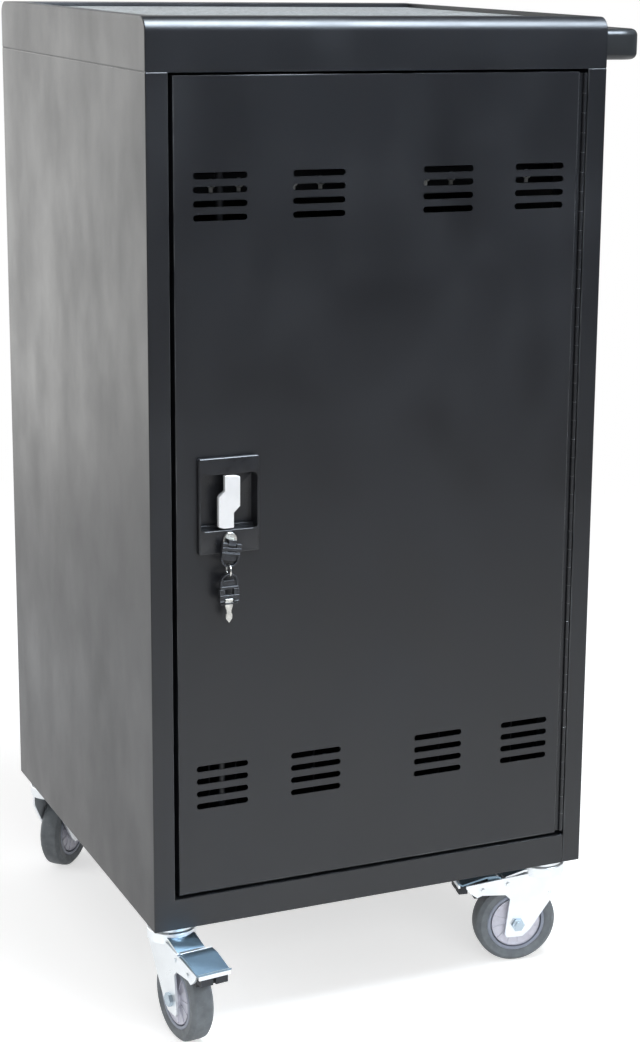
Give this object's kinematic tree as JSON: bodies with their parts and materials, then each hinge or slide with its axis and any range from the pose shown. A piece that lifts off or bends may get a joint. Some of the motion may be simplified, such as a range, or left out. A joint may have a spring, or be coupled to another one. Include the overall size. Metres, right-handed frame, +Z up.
{
  "type": "laptop charging cart",
  "caption": "Upright lockable steel cabinet on swivel casters for storing and charging laptops, with vented doors, side push handle and tray top.",
  "frame": {"origin": "on the floor plane, under the middle of the whole set's bounding box (push handle and caster brake pedals included)", "axes": "+Z up; -Y towards the front door; +X towards the side with the push handle and the door hinge"},
  "size_m": [0.574, 0.6234, 1.0505],
  "materials": {
    "bow_plastic": "black moulded plastic",
    "brake_metal": "blue zinc plated steel",
    "cabinet_paint": "black powder coat, satin with a fine orange-peel texture",
    "dish_plastic": "black moulded nylon, half gloss",
    "divider_plastic": "black moulded plastic",
    "handle_plastic": "dark grey smooth moulded plastic",
    "hinge_steel": "black coated steel",
    "hub_plastic": "mid grey moulded hub",
    "inner_paint": "black powder coat, satin",
    "key_metal": "nickel plated",
    "lever_metal": "satin chrome on die cast zinc",
    "lock_metal": "satin nickel",
    "mat_rubber": "dark grey sheet with a pale fleck",
    "ring_plastic": "light grey moulded plastic",
    "strip_plastic": "black moulded plastic",
    "switch_plastic": "red rocker",
    "tyre_grey": "dark grey thermoplastic rubber",
    "zinc": "bright zinc plated steel"
  },
  "bodies": {
    "cabinet": {"adapter_shelf_lower": "inner_paint", "adapter_shelf_upper": "inner_paint", "base_pan": "cabinet_paint", "cable_rails": "inner_paint", "cable_rings": "ring_plastic", "caster_nuts": "zinc", "caster_stems": "zinc", "handle_screws": "zinc", "hinge_frame_leaf": "hinge_steel", "hinge_pin": "hinge_steel", "inner_top_panel": "inner_paint", "left_side_panel": "cabinet_paint", "lower_dividers": "divider_plastic", "lower_shelf": "inner_paint", "partition_panel": "inner_paint", "power_inlet": "strip_plastic", "power_strip_lower": "strip_plastic", "power_strip_upper": "strip_plastic", "right_side_panel": "cabinet_paint", "side_handle": "handle_plastic", "top_cover": "cabinet_paint", "top_mat": "mat_rubber", "upper_dividers": "divider_plastic", "upper_shelf": "inner_paint"},
    "front_door": {"front_door": "cabinet_paint", "hinge_door_leaf": "hinge_steel", "lock_dish": "dish_plastic", "rod_guides": "zinc"},
    "handle": {"turn_handle": "lever_metal", "latch_cam": "zinc"},
    "rod_upper": {"latch_rod_upper": "hinge_steel"},
    "rod_lower": {"latch_rod_lower": "hinge_steel"},
    "lock": {"lock_core": "lock_metal", "lock_rotor": "zinc", "lock_key": "key_metal"},
    "key_bow": {"lock_key_bow": "bow_plastic"},
    "ring": {"key_ring": "key_metal"},
    "spare_bow": {"spare_key_bow": "bow_plastic"},
    "spare_blade": {"spare_key_blade": "key_metal"},
    "rear_door": {"rear_door": "cabinet_paint", "rear_door_pins": "zinc"},
    "rear_lock": {"rear_lock_core": "lock_metal", "rear_lock_cam": "zinc"},
    "switch_lower": {"strip_switch_lower": "switch_plastic"},
    "switch_upper": {"strip_switch_upper": "switch_plastic"},
    "caster_front_left": {"fork_front_left": "zinc"},
    "wheel_front_left": {"wheel_hub_front_left": "hub_plastic", "tyre_front_left": "tyre_grey"},
    "pedal_front_left": {"brake_pedal_front_left": "brake_metal"},
    "caster_front_right": {"fork_front_right": "zinc"},
    "wheel_front_right": {"wheel_hub_front_right": "hub_plastic", "tyre_front_right": "tyre_grey"},
    "pedal_front_right": {"brake_pedal_front_right": "brake_metal"},
    "caster_rear_left": {"fork_rear_left": "zinc"},
    "wheel_rear_left": {"wheel_hub_rear_left": "hub_plastic", "tyre_rear_left": "tyre_grey"},
    "caster_rear_right": {"fork_rear_right": "zinc"},
    "wheel_rear_right": {"wheel_hub_rear_right": "hub_plastic", "tyre_rear_right": "tyre_grey"}
  },
  "joints": [
    {"name": "front_door_hinge", "type": "hinge", "parent": "cabinet", "child": "front_door", "pos_m": [0.189, -0.23992, 0.5775], "axis": [0, 0, 1], "range_deg": [0, 120]},
    {"name": "rear_door_pivot", "type": "hinge", "parent": "cabinet", "child": "rear_door", "pos_m": [0.1815, 0.26378, 0.5775], "axis": [0, 0, -1], "range_deg": [0, 110]},
    {"name": "handle_turn", "type": "hinge", "parent": "front_door", "child": "handle", "pos_m": [-0.2055, -0.24222, 0.576], "axis": [0, 1, 0], "range_deg": [0, 90]},
    {"name": "rod_upper_slide", "type": "slide", "parent": "front_door", "child": "rod_upper", "axis": [0, 0, 1], "range_m": [0, 0.012]},
    {"name": "rod_lower_slide", "type": "slide", "parent": "front_door", "child": "rod_lower", "axis": [0, 0, -1], "range_m": [0, 0.012]},
    {"name": "lock_turn", "type": "hinge", "parent": "front_door", "child": "lock", "pos_m": [-0.2055, -0.24222, 0.538], "axis": [0, 1, 0], "range_deg": [0, 90]},
    {"name": "key_bow_fold", "type": "hinge", "parent": "lock", "child": "key_bow", "pos_m": [-0.20632, -0.25542, 0.53337], "axis": [-0.9848, 0, 0.1736], "range_deg": [0, 90]},
    {"name": "ring_swing", "type": "hinge", "parent": "key_bow", "child": "ring", "pos_m": [-0.20951, -0.25542, 0.51436], "axis": [0, 1, 0], "range_deg": [-20, 20]},
    {"name": "spare_key_swing", "type": "hinge", "parent": "ring", "child": "spare_bow", "pos_m": [-0.20951, -0.25542, 0.50156], "axis": [0, 1, 0], "range_deg": [-25, 25]},
    {"name": "spare_blade_fold", "type": "hinge", "parent": "spare_bow", "child": "spare_blade", "pos_m": [-0.20951, -0.25542, 0.47727], "axis": [-1, 0, 0], "range_deg": [0, 90]},
    {"name": "rear_lock_turn", "type": "hinge", "parent": "rear_door", "child": "rear_lock", "pos_m": [-0.232, 0.26778, 0.5775], "axis": [0, 1, 0], "range_deg": [0, 90]},
    {"name": "strip_switch_lower", "type": "hinge", "parent": "cabinet", "child": "switch_lower", "pos_m": [0.172, 0.15578, 0.5075], "axis": [1, 0, 0], "range_deg": [0, 20]},
    {"name": "strip_switch_upper", "type": "hinge", "parent": "cabinet", "child": "switch_upper", "pos_m": [0.172, 0.15578, 0.9285], "axis": [1, 0, 0], "range_deg": [0, 20]},
    {"name": "swivel_front_left", "type": "hinge", "parent": "cabinet", "child": "caster_front_left", "pos_m": [-0.257, -0.20822, 0.1155], "axis": [0, 0, 1], "continuous": true},
    {"name": "wheel_spin_front_left", "type": "hinge", "parent": "caster_front_left", "child": "wheel_front_left", "pos_m": [-0.25349, -0.23902, 0.0465], "axis": [0.9936, 0.1132, 0], "continuous": true},
    {"name": "brake_pedal_front_left", "type": "hinge", "parent": "caster_front_left", "child": "pedal_front_left", "pos_m": [-0.25208, -0.25144, 0.0955], "axis": [-0.9936, -0.1132, 0], "range_deg": [0, 14]},
    {"name": "swivel_front_right", "type": "hinge", "parent": "cabinet", "child": "caster_front_right", "pos_m": [0.183, -0.20822, 0.1155], "axis": [0, 0, 1], "continuous": true},
    {"name": "wheel_spin_front_right", "type": "hinge", "parent": "caster_front_right", "child": "wheel_front_right", "pos_m": [0.15252, -0.20258, 0.0465], "axis": [-0.1822, -0.9833, 0], "continuous": true},
    {"name": "brake_pedal_front_right", "type": "hinge", "parent": "caster_front_right", "child": "pedal_front_right", "pos_m": [0.14023, -0.2003, 0.0955], "axis": [0.1822, 0.9833, 0], "range_deg": [0, 14]},
    {"name": "swivel_rear_left", "type": "hinge", "parent": "cabinet", "child": "caster_rear_left", "pos_m": [-0.257, 0.23378, 0.1155], "axis": [0, 0, 1], "continuous": true},
    {"name": "wheel_spin_rear_left", "type": "hinge", "parent": "caster_rear_left", "child": "wheel_rear_left", "pos_m": [-0.23586, 0.25645, 0.0465], "axis": [-0.7314, 0.682, 0], "continuous": true},
    {"name": "swivel_rear_right", "type": "hinge", "parent": "cabinet", "child": "caster_rear_right", "pos_m": [0.183, 0.23378, 0.1155], "axis": [0, 0, 1], "continuous": true},
    {"name": "wheel_spin_rear_right", "type": "hinge", "parent": "caster_rear_right", "child": "wheel_rear_right", "pos_m": [0.18651, 0.26458, 0.0465], "axis": [-0.9936, 0.1132, 0], "continuous": true}
  ],
  "couplings": [
    {"joint": "rod_upper_slide", "follows": "handle_turn", "m_per_rad": 0.007639},
    {"joint": "rod_lower_slide", "follows": "handle_turn", "m_per_rad": 0.007639}
  ]
}
